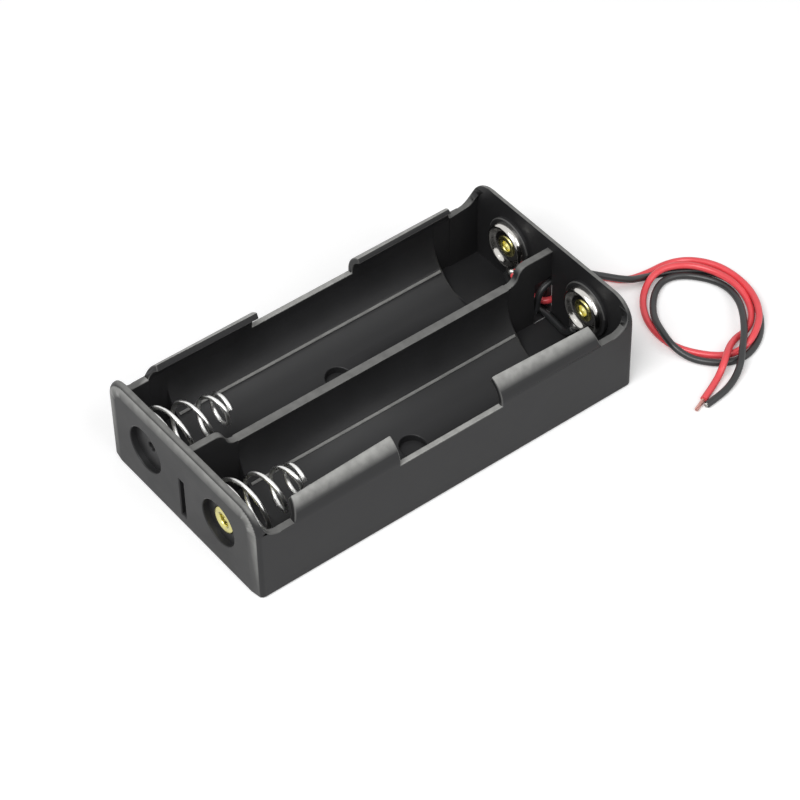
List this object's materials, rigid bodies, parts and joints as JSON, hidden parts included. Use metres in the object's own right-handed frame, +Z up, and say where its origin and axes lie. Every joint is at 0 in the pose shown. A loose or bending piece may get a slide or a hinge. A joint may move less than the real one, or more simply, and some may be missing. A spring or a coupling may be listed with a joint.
{
  "type": "cylindrical cell holder",
  "caption": "Open-topped holder that grips cylindrical cells side by side between springs and plated contacts, with a red and a black lead.",
  "frame": {"origin": "middle of the underside of the case, without the leads", "axes": "+X along the bays from the sprung end to the plate end where the leads leave, +Z up out of the open side, left is +Y and right is -Y seen from the sprung end"},
  "size_m": [0.1061, 0.0528, 0.018],
  "materials": {
    "case_plastic": "black moulded plastic, satin",
    "plated_sheet": "bright nickel-plated sheet",
    "spring_wire": "bright nickel-plated wire",
    "brass": "bright brass",
    "red_sleeve": "red flexible sleeve",
    "black_sleeve": "black flexible sleeve",
    "solder": "tin solder"
  },
  "bodies": {
    "case": {"case": "case_plastic", "spring_strip": "plated_sheet", "spring_eyelet": "brass", "contact_plate_left": "plated_sheet", "contact_plate_right": "plated_sheet", "contact_eyelet_left": "brass", "contact_eyelet_right": "brass", "lead_red_inner": "red_sleeve", "positive_link": "black_sleeve", "lead_black_inner": "black_sleeve", "solder_left": "solder", "solder_right": "solder", "solder_black": "solder", "lead_red": "red_sleeve", "lead_red_coil": "red_sleeve", "lead_red_tail": "red_sleeve", "red_strands": "solder", "lead_black": "black_sleeve", "lead_black_coil": "black_sleeve", "lead_black_tail": "black_sleeve", "black_strands": "solder"},
    "spring_left": {"spring_left": "spring_wire"},
    "spring_right": {"spring_right": "spring_wire"}
  },
  "joints": [
    {"name": "spring_left_compress", "type": "slide", "parent": "case", "child": "spring_left", "axis": [1, 0, 0], "range_m": [-0.0085, 0], "stiffness_N_per_m": 500, "deforming": ["spring_left"]},
    {"name": "spring_right_compress", "type": "slide", "parent": "case", "child": "spring_right", "axis": [1, 0, 0], "range_m": [-0.0085, 0], "stiffness_N_per_m": 500, "deforming": ["spring_right"]}
  ]
}
